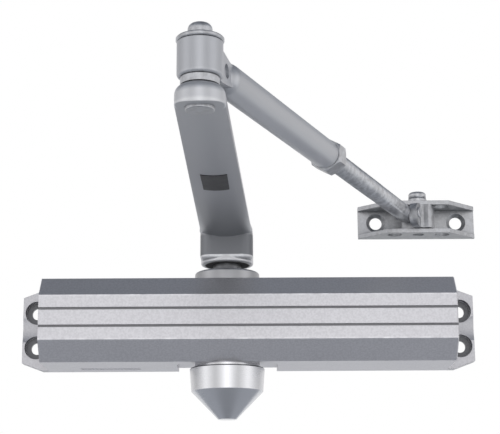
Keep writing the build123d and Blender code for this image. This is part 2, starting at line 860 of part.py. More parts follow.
def lock_nut():
    """Hexagon nut against the tube's mouth."""
    start = tube_end + side_gap
    corner = lock_nut_flats / 2 / math.cos(math.pi / hexagon_sides)
    solid = Pos(start, 0, 0) * Rot(0, 90, 0) * hexagon(lock_nut_flats, lock_nut_length)
    turned_down = lengthwise(corner, start, start + lock_nut_length)
    turned_down = chamfer(turned_down.edges().filter_by(GeomType.CIRCLE), lock_nut_edge)
    solid &= turned_down
    solid -= lengthwise(rod_radius + running_gap, start, start + lock_nut_length)
    return forearm_place * solid


def adjusting_rod():
    """Threaded rod with a plain shank and a flattened round end."""
    solid = lengthwise(rod_radius, tube_end - rod_engagement, rod_thread_end)
    shank = lengthwise(rod_shank_radius, rod_thread_end, rivet_place + rod_shank_radius)
    end_round = crosswise(rod_shank_radius, -rod_radius, rod_radius, rivet_place)
    end_round += block(
        (rod_thread_end, rivet_place), (-rod_radius, rod_radius), (-rod_radius, rod_radius)
    )
    solid += shank & end_round
    solid -= lengthwise(rod_radius + running_gap, rod_thread_end, rod_thread_end + rod_relief) - lengthwise(
        rod_shank_radius - running_gap, rod_thread_end, rod_thread_end + rod_relief
    )
    flat_start = rivet_place - rod_flat_length
    beyond = rivet_place + 2 * rod_radius
    solid -= block((flat_start, beyond), (-2 * rod_radius, -rod_eye_flat), (-rod_radius, rod_radius))
    solid -= block(
        (rivet_place - rivet_head_radius - side_gap, beyond),
        (rod_eye_back_flat, 2 * rod_radius),
        (-rod_radius, rod_radius),
    )
    solid -= crosswise(rivet_radius + running_gap, -2 * rod_radius, 2 * rod_radius, rivet_place)
    return forearm_place * solid


# The shoe's levels
shoe_low = shoe_middle - shoe_height / 2
shoe_high = shoe_middle + shoe_height / 2
knuckle_low = shoe_low + shoe_flange_thickness + side_gap
knuckle_high = shoe_high - shoe_flange_thickness - side_gap
cheek_face = rod_offset - rod_eye_flat - side_gap


def knuckle():
    """Upright barrel on the shoe's pivot, with a round-ended cheek that flares into it."""
    solid = upright(knuckle_radius, knuckle_low, knuckle_high)
    side = cheek_face - cheek_thickness
    flare_start = rivet_head_radius + side_gap - rivet_lead
    plan = [(0, cheek_face), (-cheek_reach, cheek_face), (-cheek_reach, side), (flare_start, side)]
    cheek = slab(plan + [(0, -knuckle_radius)], knuckle_low, knuckle_high)
    cheek = fillet(cheek.edges().filter_by(Axis.Y).sort_by(Axis.X)[:2], cheek_round)
    pocket_end = -rivet_lead + rod_shank_radius + side_gap
    across = (-2 * knuckle_radius, 2 * knuckle_radius)
    solid -= block((-2 * knuckle_radius, pocket_end), across, (0, arm_length))
    solid += cheek
    solid -= upright(pivot_radius + running_gap, 0, arm_length)
    solid -= crosswise(rivet_radius, *across, -rivet_lead, rivet_height)
    return knuckle_place * solid


def knuckle_rivet():
    """Horizontal rivet through rod end and cheek, with a head at each end."""
    right = cheek_face - cheek_thickness
    left = rod_offset + rod_eye_back_flat + side_gap
    solid = crosswise(rivet_radius, right, left, -rivet_lead, rivet_height)
    heads = crosswise(
        rivet_head_radius, right - rivet_head_height, right, -rivet_lead, rivet_height
    )
    rim = heads.edges().filter_by(GeomType.CIRCLE).sort_by(Axis.Y)[0]
    solid += fillet(rim, rivet_head_height / 2)
    tail = crosswise(rivet_head_radius, left, left + rivet_head_height, -rivet_lead, rivet_height)
    rim = tail.edges().filter_by(GeomType.CIRCLE).sort_by(Axis.Y)[-1]
    solid += fillet(rim, rivet_head_height / 2)
    return knuckle_place * solid


shoe_place = Pos(shoe_pivot_x, 0, 0)


def flange_outline():
    """Plan of a shoe flange, from the door face forwards."""
    wide = shoe_width / 2
    narrow = shoe_front_width / 2
    return [
        (-wide, 0),
        (wide, 0),
        (wide, -shoe_side_depth),
        (narrow, -shoe_flange_reach),
        (-narrow, -shoe_flange_reach),
        (-wide, -shoe_side_depth),
    ]


def shoe_bracket():
    """Bent channel: base plate with two countersunk holes and two tapered flanges."""
    solid = slab(flange_outline(), shoe_low, shoe_high)
    back_edges = [
        edge for edge in solid.edges().filter_by(Axis.X) if edge.center().Y > -shoe_plate_thickness
    ]
    solid = fillet(back_edges, shoe_bend_round)
    hollow_low = shoe_low + shoe_flange_thickness
    hollow_high = shoe_high - shoe_flange_thickness
    solid -= block(
        (-shoe_width, shoe_width),
        (-2 * shoe_flange_reach, -shoe_plate_thickness),
        (hollow_low, hollow_high),
    )
    for side in (-1, 1):
        x = side * shoe_hole_spacing / 2
        solid -= crosswise(shoe_hole_radius, -shoe_flange_reach, cut_overrun, x, shoe_middle)
        sink = Cone(
            shoe_hole_radius,
            shoe_hole_sink_radius + cut_overrun,
            shoe_hole_sink_radius + cut_overrun - shoe_hole_radius,
            align=(Align.CENTER, Align.CENTER, Align.MAX),
        )
        sink_face = -shoe_plate_thickness - cut_overrun
        solid -= Pos(x, sink_face, shoe_middle) * Rot(90, 0, 0) * sink
        side_x = side * shoe_side_hole_spacing / 2
        solid -= upright(shoe_side_hole_radius, 0, arm_length, side_x, -shoe_pivot_stand)
    solid -= upright(pivot_radius + seat_gap, 0, arm_length, y=-shoe_pivot_stand)
    return shoe_place * solid


def shoe_pivot_washer():
    """Disc between the top flange and the screw's head."""
    solid = upright(pivot_washer_radius, shoe_high, shoe_high + pivot_washer_thickness)
    solid -= upright(pivot_radius + seat_gap, 0, arm_length)
    return shoe_place * Pos(0, -shoe_pivot_stand, 0) * solid


def shoe_pivot_screw():
    """Screw through both flanges and the knuckle, its end just inside the lower flange."""
    low = shoe_high + pivot_washer_thickness
    head = upright(pivot_head_radius, low, low + pivot_head_height)
    rim = head.edges().filter_by(GeomType.CIRCLE).sort_by(Axis.Z)[-1]
    head = fillet(rim, pivot_head_round)
    head -= block(
        (-2 * pivot_head_radius, 2 * pivot_head_radius),
        (-pivot_slot_width / 2, pivot_slot_width / 2),
        (low + pivot_head_height - pivot_slot_depth, arm_length),
    )
    solid = head + upright(pivot_radius, shoe_low + pivot_end_inset, low)
    return shoe_place * Pos(0, -shoe_pivot_stand, 0) * solid


save(closer_body(), "closer_body")
save(end_plug(-1), "end_plug_left")
save(end_plug(1), "end_plug_right")
save(Compound(children=end_plug_seals()), "end_plug_seals")
for end_name, end_side in (("upper", 1), ("lower", -1)):
    save(bearing_cap(end_side), "bearing_cap_" + end_name)
    save(bearing(end_side), "bearing_" + end_name)
    save(shaft_seal(end_side), "shaft_seal_" + end_name)
save(pinion_shaft(), "pinion_shaft")
save(rack_piston(), "rack_piston")
save(piston_ring(), "piston_ring")
save(check_valve_seat(), "check_valve_seat")
save(check_valve_ball(), "check_valve_ball")
save(main_spring(), "main_spring")
save(spring_seat(), "spring_seat")
save(power_screw(), "power_screw")
save(speed_valve(1), "closing_valve")
save(speed_valve(-1), "latch_valve")
save(Compound(children=valve_seals()), "valve_seals")
save(spindle_cap(), "spindle_cap")
save(main_arm(), "main_arm")
save(arm_plate(), "arm_plate")
save(arm_washer(), "arm_washer")
save(arm_screw(), "arm_screw")
save(elbow_pin(), "elbow_pin")
save(elbow_spacer(), "elbow_spacer")
save(elbow_washer(), "elbow_washer")
save(elbow_nut(), "elbow_nut")
save(elbow_bush(), "elbow_bush")
save(forearm(), "forearm")
save(lock_nut(), "lock_nut")
save(adjusting_rod(), "adjusting_rod")
save(knuckle(), "knuckle")
save(knuckle_rivet(), "knuckle_rivet")
save(shoe_bracket(), "shoe_bracket")
save(shoe_pivot_washer(), "shoe_pivot_washer")
save(shoe_pivot_screw(), "shoe_pivot_screw")
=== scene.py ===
# %% [markdown]
# # A surface door closer
#
# The closer is a silver cast body with a cone cap below its spindle, a forged main arm, a forearm
# with a threaded rod, and a small channel bracket that screws to the door frame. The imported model
# already holds every piece at its real place, so this lesson adds what a drawing lacks: the light,
# the finishes, and the small worked detail that makes metal look made.

import json
import math

import bmesh
import bpy
from mathutils import Matrix, Vector


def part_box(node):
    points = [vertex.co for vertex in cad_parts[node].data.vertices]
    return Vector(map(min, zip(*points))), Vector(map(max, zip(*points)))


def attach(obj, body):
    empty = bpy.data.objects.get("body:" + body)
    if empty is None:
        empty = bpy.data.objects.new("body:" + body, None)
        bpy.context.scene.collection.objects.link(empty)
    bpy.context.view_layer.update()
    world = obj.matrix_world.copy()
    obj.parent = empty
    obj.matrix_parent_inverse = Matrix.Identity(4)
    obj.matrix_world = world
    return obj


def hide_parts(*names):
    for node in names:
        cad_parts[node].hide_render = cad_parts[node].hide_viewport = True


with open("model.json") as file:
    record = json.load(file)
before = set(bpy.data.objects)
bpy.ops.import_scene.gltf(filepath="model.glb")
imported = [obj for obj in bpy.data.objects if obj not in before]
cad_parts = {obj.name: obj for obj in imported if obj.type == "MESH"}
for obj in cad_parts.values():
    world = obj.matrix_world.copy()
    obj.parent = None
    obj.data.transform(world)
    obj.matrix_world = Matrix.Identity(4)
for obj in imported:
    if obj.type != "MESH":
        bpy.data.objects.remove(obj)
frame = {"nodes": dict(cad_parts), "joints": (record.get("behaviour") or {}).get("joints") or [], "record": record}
nodes = frame["nodes"]
scene = bpy.context.scene
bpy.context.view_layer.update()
MM = 0.001

# %% [markdown]
# ## The camera
#
# The photographer stood below the closer with a long lens tilted up, so the underside of the body
# and of the arm both show. A long lens keeps the far pieces nearly as large as the near ones. The
# camera could be aimed by a constraint, but a written place, tilt and roll are easier to adjust
# against the photograph, one at a time.

# %% Camera
IMAGE_WIDTH = 500
FOCAL_PIXELS = 1384.0
SENSOR_WIDTH = 36.0
CAMERA_PLACE = Vector((1.2, -752.5, -118.9)) * MM
CAMERA_TILT = math.radians(13.7)
CAMERA_ROLL = math.radians(-0.29)

camera_data = bpy.data.cameras.new("studio_camera")
camera_data.sensor_width = SENSOR_WIDTH
camera_data.lens = FOCAL_PIXELS * SENSOR_WIDTH / IMAGE_WIDTH
camera_data.clip_start = 0.01
camera_data.clip_end = 50.0
camera = bpy.data.objects.new("studio_camera", camera_data)
scene.collection.objects.link(camera)
upright = Matrix.Rotation(math.pi / 2 + CAMERA_TILT, 4, "X")
camera.matrix_world = Matrix.Translation(CAMERA_PLACE) @ upright @ Matrix.Rotation(CAMERA_ROLL, 4, "Z")
scene.camera = camera
print("lens", round(camera_data.lens, 2), "mm")

# %% [markdown]
# ## Shader sums
#
# A finish is a sum of small effects. Adding Math nodes by hand buries the sum, so a small class
# wraps a socket and lets ordinary Python signs add the nodes.

# %% Sockets that can be added and multiplied
class Wire:
    """A number that flows between nodes."""

    def __init__(self, graph, socket):
        self.graph = graph
        self.socket = socket

    def sum(self, operation, first, second=0.0):
        return self.graph.node("ShaderNodeMath", {"operation": operation}, {0: first, 1: second})

    def __add__(self, other):
        return self.sum("ADD", self, other)

    __radd__ = __add__

    def __sub__(self, other):
        return self.sum("SUBTRACT", self, other)

    def __rsub__(self, other):
        return self.sum("SUBTRACT", other, self)

    def __mul__(self, other):
        return self.sum("MULTIPLY", self, other)

    __rmul__ = __mul__

    def __truediv__(self, other):
        return self.sum("DIVIDE", self, other)

    def __abs__(self):
        return self.sum("ABSOLUTE", self)

    def __pow__(self, other):
        return self.sum("POWER", self, other)


# %% [markdown]
# Every other node comes from one method. It takes the node's type, its settings, which are made
# first because some of them change which sockets there are, and what goes into its sockets.

# %% One method for every node
class Graph:
    """A node tree, whose nodes all come from one method."""

    def __init__(self, owner, place):
        owner.use_nodes = True
        self.tree = owner.node_tree
        self.tree.nodes.clear()
        self.place = Wire(self, self.tree.nodes.new("ShaderNodeTexCoord").outputs[place])

    def node(self, kind, settings=None, sockets=None, out=0):
        made = self.tree.nodes.new(kind)
        for name, value in (settings or {}).items():
            if name == "stops":
                self.colour_stops(made.color_ramp.elements, value)
            else:
                setattr(made, name, value)
        for name, value in (sockets or {}).items():
            if isinstance(value, Wire):
                self.tree.links.new(value.socket, made.inputs[name])
            else:
                made.inputs[name].default_value = value
        return Wire(self, made.outputs[out]) if len(made.outputs) else None

    def colour_stops(self, elements, stops):
        for number, (position, colour) in enumerate(stops):
            stop = elements[number] if number < 2 else elements.new(position)
            stop.position = position
            stop.color = colour

    def axes(self):
        return [self.node("ShaderNodeSeparateXYZ", None, {"Vector": self.place}, out) for out in range(3)]

    def ramp(self, value, stops):
        return self.node("ShaderNodeValToRGB", {"stops": stops}, {"Fac": value})


# %% [markdown]
# ## Words for a finish
#
# A finish needs few words: a grain, a soft step from none to all, its opposite, a blend of two
# colours, a mask that paints shade into the corners and onto the undersides, and a relief for the
# light. The relief rounds the sharp edges a little too, because no real edge is perfectly sharp.

# %% The words
class Finish(Graph):
    """The finish of one material."""

    def __init__(self, name):
        self.material = bpy.data.materials.new(name)
        super().__init__(self.material, "Object")

    def grain(self, scale, detail=2.0, roughness=0.5, stretch=None):
        place = self.place
        if stretch is not None:
            place = self.node("ShaderNodeMapping", None, {"Vector": place, "Scale": stretch})
        sockets = {"Vector": place, "Scale": scale, "Detail": detail, "Roughness": roughness}
        return self.node("ShaderNodeTexNoise", None, sockets)

    def distance(self, first, second):
        return (first * first + second * second) ** 0.5

    def step(self, value, low, high):
        """None up to low, all from high."""
        sockets = {0: value, 1: low, 2: high, 3: 0.0, 4: 1.0}
        return self.node("ShaderNodeMapRange", {"interpolation_type": "SMOOTHSTEP"}, sockets)

    def within(self, value, low, high):
        """All up to low, none from high."""
        return 1.0 - self.step(value, low, high)

    def blend(self, share, first, second):
        return self.node("ShaderNodeMix", {"data_type": "RGBA"}, {0: share, 6: first, 7: second}, 2)

    def corners(self, reach):
        """How deep a point sits in a corner of its own piece, from 0 in the open to 1."""
        settings = {"only_local": True, "samples": 8}
        closed = 1.0 - self.node("ShaderNodeAmbientOcclusion", settings, {"Distance": reach}, 1)
        return self.step(closed, 0.15, 0.75)

    def downward(self):
        """Where the surface faces the floor."""
        normal = self.node("ShaderNodeNewGeometry", None, None, 1)
        rise = self.node("ShaderNodeSeparateXYZ", None, {"Vector": normal}, 2)
        return self.step(0.0 - rise, 0.7, 0.95)

    def relief(self, height, distance, strength=1.0, soften=None):
        sockets = {"Height": height, "Distance": distance, "Strength": strength}
        if soften:
            sockets["Normal"] = self.node("ShaderNodeBevel", {"samples": 4}, {"Radius": soften})
        return self.node("ShaderNodeBump", None, sockets)

    def shader(self, colour, metallic, roughness, normal, **fixed):
        sockets = {"Base Color": colour, "Metallic": metallic, "Roughness": roughness, "Normal": normal}
        for name, value in fixed.items():
            sockets[name.replace("_", " ")] = value
        surface = self.node("ShaderNodeBsdfPrincipled", None, sockets)
        self.node("ShaderNodeOutputMaterial", None, {"Surface": surface})
        return self.material


def grey(level, blue=0.0, rose=0.0):
    """A grey with a slight cold cast, or a slight rose one."""
    return (level * (1 - blue + rose), level * (1 - blue / 3 - rose / 2), level * (1 + blue), 1.0)


print("a cold grey", [round(part, 3) for part in grey(0.5, 0.05)])

# %% [markdown]
# ## The body's silver coat
#
# The casting carries a satin silver coat. It isn't polished: tiny pits scatter the light, fine
# specks and a slow drift vary the tone, and the long edges are a shade lighter, partly rubbed by
# handling and partly a painted edge highlight. The edge lines are straight and known, so a distance
# from each line paints the lighter strip exactly where it is. The grooves of the front, the sunk holes
# of the feet and the corners where the feet meet the body get painted shade, each from its own mask.

# %% Places on the body
body_low, body_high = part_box("closer_body")
HALF_HEIGHT = body_high.z
FRONT = -body_low.y
BEVEL_DEPTH = 9.7 * MM
FRONT_HALF = 11.7 * MM
HALF_LENGTH = 108.0 * MM
FOOT_THICKNESS = 7.0 * MM
HOLE_SPACING_X = 230.2 * MM
HOLE_SPACING_Z = 19.05 * MM
SINK_RADIUS = 6.1 * MM
GROOVE_SPACING = 9.1 * MM
GROOVE_DEPTH = 2.4 * MM
RUBBED_AND_HIGHLIT_EDGES = ((-FRONT, FRONT_HALF), (BEVEL_DEPTH - FRONT, HALF_HEIGHT))
print("body's front at", round(FRONT / MM, 1), "mm, half height", round(HALF_HEIGHT / MM, 1), "mm")

# %% Coat of the body
def body_coat(name):
    made = Finish(name)
    x, y, z = made.axes()
    high = abs(z)
    drift = made.grain(14.0)
    pits = made.grain(1900.0, 3.0, 0.6)
    peel = made.grain(420.0)
    speck = made.step(made.grain(1050.0), 0.34, 0.66)
    # A lighter strip along the long edges: partly handling wear, partly a painted edge highlight.
    rub_and_highlight = 0.0
    for edge_y, edge_z in RUBBED_AND_HIGHLIT_EDGES:
        away = made.distance(y - edge_y, high - edge_z)
        rub_and_highlight = made.within(away, 0.2 * MM, 1.1 * MM) + rub_and_highlight
    worn_and_highlit = rub_and_highlight * made.step(made.grain(160.0, 3.0), 0.35, 0.75)
    # Painted shade in the sunk holes of the feet.
    from_hole = made.distance(abs(x) - HOLE_SPACING_X / 2, high - HOLE_SPACING_Z / 2)
    sunk_hole_shade = made.within(from_hole, SINK_RADIUS - 0.2 * MM, SINK_RADIUS + 0.2 * MM)
    sunk_hole_shade = sunk_hole_shade * made.step(0.0 - y, 0.5 * MM, 1.5 * MM)
    # Painted shade in the grooves of the front.
    groove_shade = made.within(abs(high - GROOVE_SPACING / 2), 0.45 * MM, 0.7 * MM)
    groove_shade = groove_shade * made.step(0.0 - y, FRONT - GROOVE_DEPTH, FRONT - GROOVE_DEPTH + 0.6 * MM)
    # Painted shade on the feet, where they sit in the body's corner.
    foot_shade = made.step(y, -FOOT_THICKNESS - 0.3 * MM, -FOOT_THICKNESS + 0.2 * MM)
    foot_shade = foot_shade * made.step(abs(x), HALF_LENGTH - 0.5 * MM, HALF_LENGTH + 1.5 * MM)
    colour = made.blend(0.5 * drift + 0.5 * speck, grey(0.58, 0.02, 0.012), grey(0.72, 0.02, 0.012))
    colour = made.blend(worn_and_highlit * 0.6, colour, grey(0.86, 0.01))
    colour = made.blend(foot_shade * 0.3, colour, grey(0.20, 0.04))
    colour = made.blend(sunk_hole_shade * 0.85 + groove_shade * 0.8, colour, grey(0.08, 0.05))
    roughness = 0.34 + 0.10 * drift + 0.08 * pits - 0.10 * worn_and_highlit
    normal = made.relief(pits + 0.7 * peel, 0.05 * MM, 0.55, 0.35 * MM)
    return made.shader(colour, 0.85, roughness, normal)


# %% [markdown]
# ## Turned aluminium
#
# The cone cap and the spindle caps come off a lathe. The tool leaves fine rings round the
# spindle's axis, so the pattern depends on the distance from that axis and on the height, and on
# nothing else. That draws the light into the bright upright bands that turned parts show. The upper
# cap stands in the arm's shade, which is painted into its colour, and it is a little rougher. A
# painted shadow line runs where the cone's rim ends.

# %% Turned caps
cap_low, cap_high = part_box("spindle_cap")
SPINDLE = ((cap_low + cap_high) / 2).xy
RIM_HEIGHT = cap_high.z
RIM_RADIUS = 18.2 * MM
UPPER_CAP_Z = 10.0 * MM
print("spindle at", [round(v / MM, 2) for v in SPINDLE])


def turned_finish(name, level, rough):
    made = Finish(name)
    x, y, z = made.axes()
    out = made.distance(x - SPINDLE.x, y - SPINDLE.y)
    ring_place = made.node("ShaderNodeCombineXYZ", None, {"X": out, "Z": z})
    sockets = {"Vector": ring_place, "Scale": 3600.0, "Detail": 3.0, "Roughness": 0.6}
    rings = made.node("ShaderNodeTexNoise", None, sockets)
    cloud = made.grain(60.0)
    # Painted shade on the upper cap, which stands in the arm's shade.
    upper_cap_shade = made.step(z, 0.0, UPPER_CAP_Z)
    # A painted shadow line where the cone's rim ends.
    rim_shadow_line = made.step(z, RIM_HEIGHT - 0.75 * MM, RIM_HEIGHT - 0.35 * MM)
    rim_shadow_line = rim_shadow_line * made.step(out, RIM_RADIUS, RIM_RADIUS + 0.6 * MM)
    colour = made.blend(cloud * 0.6 + rings * 0.4, grey(level * 0.9, 0.02), grey(level * 1.06, 0.02))
    colour = made.blend(upper_cap_shade * 0.45 + rim_shadow_line * 0.95, colour, grey(level * 0.12, 0.04))
    roughness = rough + 0.10 * rings + 0.06 * cloud + 0.10 * upper_cap_shade + 0.3 * rim_shadow_line
    normal = made.relief(rings, 0.02 * MM, 0.5, 0.3 * MM)
    return made.shader(colour, 0.95, roughness, normal)


# %% [markdown]
# ## The arms' enamel
#
# The two forged arms wear a thicker, duller silver enamel with a soft orange-peel skin and a fine
# flake. Shade is painted under the strap, most of all near the hub, and on the hub's underside, and
# a painted highlight lights the hub's lower rim and the arm's round end, brightest along its lower
# edge. Each of these places is a height and a distance from one of the two pivots, so the masks are
# worked out from the pivots and not drawn.

# %% Places on the main arm
HUB_RADIUS = 14.0 * MM
HUB_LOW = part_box("main_arm")[0].z
HUB_RIM = 3.5 * MM
CROWN_RISE = 2.6 * MM
STRAP_LOW = 43.3 * MM
ARM_END_RADIUS = 9.7 * MM
ARM_TOP = 52.3 * MM
elbow_low, elbow_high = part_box("elbow_nut")
ELBOW = ((elbow_low + elbow_high) / 2).xy
print("elbow at", [round(v / MM, 2) for v in ELBOW], "hub from", round(HUB_LOW / MM, 2), "mm")

# %% Enamel
def enamel(name, level, rough):
    made = Finish(name)
    x, y, z = made.axes()
    peel = made.grain(520.0)
    flake = made.grain(2600.0, 2.0, 0.7)
    drift = made.grain(22.0)
    from_spindle = made.distance(x - SPINDLE.x, y - SPINDLE.y)
    from_elbow = made.distance(x - ELBOW.x, y - ELBOW.y)
    # Painted shade under the strap, strongest near the hub.
    below = made.within(z, STRAP_LOW + CROWN_RISE, STRAP_LOW + 1.8 * CROWN_RISE)
    near = made.within(from_spindle + 0.01 * drift, 1.5 * HUB_RADIUS, 9.0 * HUB_RADIUS)
    under_strap_shade = below * (0.35 + 0.40 * near)
    # A painted highlight on the hub's lower rim.
    rim = made.within(z, HUB_LOW + 0.9 * HUB_RIM, HUB_LOW + 1.05 * HUB_RIM)
    # Painted shade: the hub's underside is painted nearly black and made rough.
    scale = made.within(z, HUB_LOW + 0.25 * HUB_RIM, HUB_LOW + 0.45 * HUB_RIM)
    scale = scale * made.within(from_spindle, 0.80 * HUB_RADIUS, 0.90 * HUB_RADIUS)
    # A painted highlight on the arm's round end, brightest along its lower edge.
    ahead = made.within(y, ELBOW.y, ELBOW.y + 0.5 * ARM_END_RADIUS)
    wall = ahead * made.step(from_elbow, 0.93 * ARM_END_RADIUS, 0.99 * ARM_END_RADIUS)
    wall = wall * made.within(z, ARM_TOP - 0.3 * MM, ARM_TOP)
    end = wall * made.step(z, STRAP_LOW + 1.4 * MM, STRAP_LOW + 2.0 * MM)
    lip = wall * made.within(z, STRAP_LOW + 1.2 * MM, STRAP_LOW + 2.2 * MM)
    colour = made.blend(0.7 * drift + 0.3 * flake, grey(level * 0.92, 0.03), grey(level * 1.08, 0.03))
    colour = made.blend(under_strap_shade * (1.0 - rim) * (1.0 - end), colour, grey(level * 0.28, 0.06))
    colour = made.blend(rim * 0.8 + end * 0.35 + lip * 0.9, colour, grey(level * 1.5, 0.01))
    colour = made.blend(scale * 0.9, colour, grey(level * 0.06, 0.05))
    roughness = rough + 0.10 * drift + 0.05 * flake + 0.08 * under_strap_shade + 0.5 * scale
    normal = made.relief(peel + 0.5 * flake, 0.05 * MM, 0.5, 0.5 * MM)
    return made.shader(colour, 0.7, roughness, normal)


# %% [markdown]
# ## Zinc plating
#
# The rod, its nut, the shoe and the small fasteners are zinc plated: a fine crystal grain with
# cloudy patches of a slightly different tone. Voronoi cells give the crystals, and a noise with a
# step gives the patches. Corners and undersides get painted shade.

# %% Zinc
CORNER_REACH = 12.0 * MM


def zinc(name, level, rough, cells):
    made = Finish(name)
    crystal = made.node("ShaderNodeTexVoronoi", None, {"Vector": made.place, "Scale": cells})
    cloud = made.step(made.grain(330.0, 3.0), 0.36, 0.64)
    scratch = made.grain(700.0, 2.0, 0.6, (1.0, 0.15, 1.0))
    # Painted shade in corners and on surfaces facing down.
    shade = made.corners(CORNER_REACH) * 0.8 + made.downward() * 0.35
    colour = made.blend(0.25 * crystal + 0.75 * cloud, grey(level * 0.78, 0.02), grey(level * 1.16, 0.02))
    colour = made.blend(shade, colour, grey(level * 0.15, 0.05))
    roughness = rough + 0.14 * cloud + 0.06 * scratch
    normal = made.relief(crystal + 0.5 * scratch, 0.03 * MM, 0.5, 0.3 * MM)
    return made.shader(colour, 0.92, roughness, normal)


# %% [markdown]
# ## The hidden works and the soft parts
#
# Inside the body are machined steel, an oil-dark spring, bronze bearings and rubber rings. They show
# only when the closer is taken apart, but a finish costs little and makes each one tell its trade.

# %% Works
def machined(name, level, rough):
    made = Finish(name)
    marks = made.grain(1400.0, 2.0, 0.6, (0.2, 1.0, 1.0))
    film = made.grain(70.0, 3.0)
    colour = made.blend(film, grey(level * 0.85, 0.04), grey(level * 1.1, 0.04))
    return made.shader(colour, 0.95, rough + 0.12 * film, made.relief(marks, 0.02 * MM, 0.5, 0.2 * MM))


def bronze(name):
    made = Finish(name)
    film = made.grain(120.0, 3.0)
    colour = made.blend(film, (0.42, 0.27, 0.10, 1.0), (0.66, 0.46, 0.20, 1.0))
    return made.shader(colour, 0.95, 0.30 + 0.15 * film, made.relief(made.grain(1500.0), 0.02 * MM, 0.5))


def soft(name, dark, light, rough):
    made = Finish(name)
    dust = made.grain(260.0, 3.0)
    colour = made.blend(dust, dark, light)
    return made.shader(colour, 0.0, rough + 0.15 * dust, made.relief(made.grain(1800.0), 0.02 * MM, 0.6))


# %% [markdown]
# ## One finish for each slot
#
# The record names a material slot for each node, and each slot gets one finish, so that pieces of
# one metal match. The stamped shoe and its knuckle share the rod's slot, but they get a darker copy
# of its plating, painted shade, as a finish of their own.

# %% Give every node its finish
finishes = {
    "cast_silver": body_coat("cast_silver"),
    "turned_aluminium": turned_finish("turned_aluminium", 0.76, 0.18),
    "forged_silver": enamel("forged_silver", 0.56, 0.33),
    "zinc_steel": zinc("zinc_steel", 0.61, 0.30, 900.0),
    # A darker copy of the rod's plating: painted shade for the shoe and its knuckle.
    "shaded_zinc": zinc("shaded_zinc", 0.52, 0.34, 900.0),
    "plated_steel": zinc("plated_steel", 0.46, 0.26, 500.0),
    "machined_steel": machined("machined_steel", 0.20, 0.28),
    "spring_steel": machined("spring_steel", 0.16, 0.32),
    "bearing_bronze": bronze("bearing_bronze"),
    "seal_rubber": soft("seal_rubber", grey(0.012), grey(0.03), 0.55),
    "dark_plate": soft("dark_plate", (0.010, 0.010, 0.011, 1.0), (0.022, 0.022, 0.023, 1.0), 0.38),
}
own_finish = {"shoe_bracket": "shaded_zinc", "knuckle": "shaded_zinc"}
slots = {part["node"]: part["material_slot"] for part in frame["record"]["subparts"]}
for node, slot in slots.items():
    mesh = nodes[node].data
    if not mesh.materials:
        mesh.materials.append(None)
    for number in range(len(mesh.materials)):
        mesh.materials[number] = finishes[own_finish.get(node, slot)]
print("finishes", len(finishes), "for nodes", len(slots))

# %% [markdown]
# ## Threads
#
# The rod that sets the forearm's length is threaded, so it can be screwed into the tube and locked
# with the nut. A screw thread could be swept along a helix, but the sweep's ends stay open. Here a
# round bar is made of many thin rings, and each point moves in by an amount that depends on its
# turn round the bar: a point half a pitch further along sits half a wave later. That is one rule for
# every thread of the closer, so one tree of geometry nodes makes them all, with the radius, depth,
# pitch and length as its inputs.

# %% A geometry tree with named inputs
class Maker(Graph):
    """A tree of geometry nodes whose inputs have names."""

    def __init__(self, name, inputs):
        self.tree = bpy.data.node_groups.new(name, "GeometryNodeTree")
        face = self.tree.interface
        face.new_socket("Geometry", in_out="OUTPUT", socket_type="NodeSocketGeometry")
        self.keys = {}
        for label, kind in inputs.items():
            self.keys[label] = face.new_socket(label, in_out="INPUT", socket_type=kind).identifier
        entry = self.tree.nodes.new("NodeGroupInput")
        self.given = {label: Wire(self, entry.outputs[label]) for label in inputs}

    def close(self, geometry):
        """Ends the tree in real geometry with its material."""
        real = self.node("GeometryNodeRealizeInstances", None, {"Geometry": geometry})
        sockets = {"Geometry": real, "Material": self.given["Material"]}
        coated = self.node("GeometryNodeSetMaterial", None, sockets)
        leave = self.tree.nodes.new("NodeGroupOutput")
        self.tree.links.new(coated.socket, leave.inputs[0])

    def run(self, name, **values):
        """Runs the tree once and returns a plain mesh."""
        carrier = bpy.data.objects.new(name, bpy.data.meshes.new(name))
        scene.collection.objects.link(carrier)
        modifier = carrier.modifiers.new("maker", "NODES")
        modifier.node_group = self.tree
        for label, value in values.items():
            modifier[self.keys[label]] = value
        seen = carrier.evaluated_get(bpy.context.evaluated_depsgraph_get())
        mesh = bpy.data.meshes.new_from_object(seen)
        bpy.data.objects.remove(carrier)
        return mesh


# %% [markdown]
# The wave has a flat crest and a flat root, as a rolled thread has, and it fades out over the last
# turn at both ends. A triangle wave that is stretched past 0 and 1 and then cut off there gives both
# flats at once.

# %% The thread's tree
AROUND = 28
RINGS_A_TURN = 6
FLANK_SLOPE = 1.5
FLAT_SHARE = 0.25

inputs = dict.fromkeys(("Radius", "Depth", "Pitch", "Length"), "NodeSocketFloat")
thread = Maker("cut_thread", inputs | {"Material": "NodeSocketMaterial"})
radius, depth = thread.given["Radius"], thread.given["Depth"]
pitch, length = thread.given["Pitch"], thread.given["Length"]
far_end = thread.node("ShaderNodeCombineXYZ", None, {"Z": length})
line = thread.node("GeometryNodeCurvePrimitiveLine", None, {"End": far_end})
line = thread.node("GeometryNodeResampleCurve", None, {"Curve": line, "Count": length / pitch * RINGS_A_TURN})
ring = thread.node("GeometryNodeCurvePrimitiveCircle", None, {"Resolution": AROUND, "Radius": radius})
bar = thread.node("GeometryNodeCurveToMesh", None, {"Curve": line, "Profile Curve": ring, "Fill Caps": True})
point = thread.node("GeometryNodeInputPosition")
x, y, z = [thread.node("ShaderNodeSeparateXYZ", None, {"Vector": point}, out) for out in range(3)]
turn = z / pitch - z.sum("ARCTAN2", y, x) / math.tau
wave = abs(z.sum("FRACT", turn) * 2.0 - 1.0)
cut = z.sum("MINIMUM", z.sum("MAXIMUM", wave * FLANK_SLOPE - FLAT_SHARE, 0.0), 1.0)
fade = z.sum("MINIMUM", z.sum("MINIMUM", z, length - z) / pitch, 1.0)
